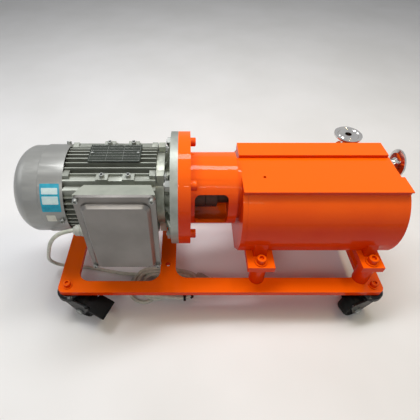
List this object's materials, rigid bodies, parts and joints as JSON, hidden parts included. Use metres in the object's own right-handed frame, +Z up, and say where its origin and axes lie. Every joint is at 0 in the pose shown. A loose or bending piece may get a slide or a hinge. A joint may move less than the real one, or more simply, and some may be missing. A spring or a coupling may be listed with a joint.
{
  "type": "dry claw vacuum pump",
  "caption": "Motor-driven dry claw vacuum pump on a wheeled base frame, with a ribbed-neck flange motor, bell housing and clamp-ferrule ports.",
  "frame": {"origin": "on the floor under the middle of the machine", "axes": "+X along the shaft from the motor to the pump, +Y away from the terminal box, +Z up"},
  "size_m": [0.666, 0.3468, 0.305],
  "materials": {
    "orange_enamel": "thick glossy orange machine enamel",
    "silver_paint": "satin silver-grey machine paint",
    "cast_aluminium": "machined cast aluminium",
    "steel": "turned steel",
    "zinc": "bright zinc plated steel",
    "stainless": "polished stainless steel",
    "cast_iron": "machined cast iron",
    "copper": "varnished copper winding",
    "black_steel": "glossy black painted pressed steel",
    "black_rubber": "moulded black rubber",
    "black_plastic": "moulded black plastic",
    "grey_plastic": "moulded light grey plastic",
    "grey_cable": "soft light grey cable sheath",
    "nameplate": "dark anodised blank plate"
  },
  "bodies": {
    "machine": {"base_frame": "orange_enamel", "pump_casing": "orange_enamel", "front_end_cover": "orange_enamel", "rear_end_cover": "orange_enamel", "top_cover": "orange_enamel", "bell_housing": "orange_enamel", "flange_bolts": "orange_enamel", "foot_screws": "orange_enamel", "caster_screws": "orange_enamel", "stage_plates": "cast_iron", "pump_bearings": "steel", "shaft_seals": "black_rubber", "motor_flange": "cast_aluminium", "motor_frame": "silver_paint", "motor_rear_shield": "cast_aluminium", "stator_core": "steel", "stator_windings": "copper", "motor_bearings": "steel", "fan_cowl": "silver_paint", "nameplate": "nameplate", "shield_bolts": "zinc", "terminal_box": "silver_paint", "terminal_cover": "silver_paint", "terminal_block": "black_plastic", "small_screws": "zinc", "cable_gland": "grey_plastic", "cable_lead": "grey_cable", "cable_coil": "grey_cable", "cable_tie": "black_plastic", "cable_plug": "grey_plastic", "inlet_stub": "stainless", "outlet_stub": "stainless", "caster_cups": "black_steel"},
    "drive_train": {"motor_shaft": "steel", "rotor_core": "steel", "cooling_fan": "black_plastic", "motor_coupling_hub": "cast_iron", "coupling_spider": "black_rubber", "pump_coupling_hub": "cast_iron", "drive_shaft": "steel", "drive_rotors": "cast_iron", "drive_gear": "steel"},
    "driven_train": {"driven_shaft": "steel", "driven_rotors": "cast_iron", "driven_gear": "steel"},
    "swivel_front_left": {"caster_fork_front_left": "black_steel", "caster_axle_front_left": "zinc"},
    "wheel_front_left": {"caster_wheel_front_left": "black_rubber"},
    "pedal_front_left": {"brake_pedal_front_left": "black_plastic"},
    "swivel_front_right": {"caster_fork_front_right": "black_steel", "caster_axle_front_right": "zinc"},
    "wheel_front_right": {"caster_wheel_front_right": "black_rubber"},
    "swivel_back_left": {"caster_fork_back_left": "black_steel", "caster_axle_back_left": "zinc"},
    "wheel_back_left": {"caster_wheel_back_left": "black_rubber"},
    "pedal_back_left": {"brake_pedal_back_left": "black_plastic"},
    "swivel_back_right": {"caster_fork_back_right": "black_steel", "caster_axle_back_right": "zinc"},
    "wheel_back_right": {"caster_wheel_back_right": "black_rubber"}
  },
  "joints": [
    {"name": "drive_spin", "type": "hinge", "parent": "machine", "child": "drive_train", "pos_m": [-0.058, 0, 0.205], "axis": [1, 0, 0], "continuous": true},
    {"name": "driven_spin", "type": "hinge", "parent": "machine", "child": "driven_train", "pos_m": [0.142, 0, 0.149], "axis": [1, 0, 0], "continuous": true},
    {"name": "swivel_front_left_turn", "type": "hinge", "parent": "machine", "child": "swivel_front_left", "pos_m": [-0.262, -0.1223, 0.055], "axis": [0, 0, 1], "continuous": true},
    {"name": "wheel_front_left_roll", "type": "hinge", "parent": "swivel_front_left", "child": "wheel_front_left", "pos_m": [-0.23825, -0.13288, 0.025], "axis": [0.4067, 0.9135, 0], "continuous": true},
    {"name": "brake_front_left", "type": "hinge", "parent": "swivel_front_left", "child": "pedal_front_left", "pos_m": [-0.2218, -0.1402, 0.049], "axis": [0.4067, 0.9135, 0], "range_deg": [0, 12]},
    {"name": "swivel_front_right_turn", "type": "hinge", "parent": "machine", "child": "swivel_front_right", "pos_m": [0.2975, -0.1223, 0.055], "axis": [0, 0, 1], "continuous": true},
    {"name": "wheel_front_right_roll", "type": "hinge", "parent": "swivel_front_right", "child": "wheel_front_right", "pos_m": [0.27307, -0.13119, 0.025], "axis": [0.342, -0.9397, 0], "continuous": true},
    {"name": "swivel_back_left_turn", "type": "hinge", "parent": "machine", "child": "swivel_back_left", "pos_m": [-0.262, 0.1223, 0.055], "axis": [0, 0, 1], "continuous": true},
    {"name": "wheel_back_left_roll", "type": "hinge", "parent": "swivel_back_left", "child": "wheel_back_left", "pos_m": [-0.23825, 0.13288, 0.025], "axis": [-0.4067, 0.9135, 0], "continuous": true},
    {"name": "brake_back_left", "type": "hinge", "parent": "swivel_back_left", "child": "pedal_back_left", "pos_m": [-0.2218, 0.1402, 0.049], "axis": [-0.4067, 0.9135, 0], "range_deg": [0, 12]},
    {"name": "swivel_back_right_turn", "type": "hinge", "parent": "machine", "child": "swivel_back_right", "pos_m": [0.2975, 0.1223, 0.055], "axis": [0, 0, 1], "continuous": true},
    {"name": "wheel_back_right_roll", "type": "hinge", "parent": "swivel_back_right", "child": "wheel_back_right", "pos_m": [0.27307, 0.13119, 0.025], "axis": [-0.342, -0.9397, 0], "continuous": true}
  ],
  "couplings": [
    {"joint": "driven_spin", "follows": "drive_spin", "ratio": -1}
  ]
}
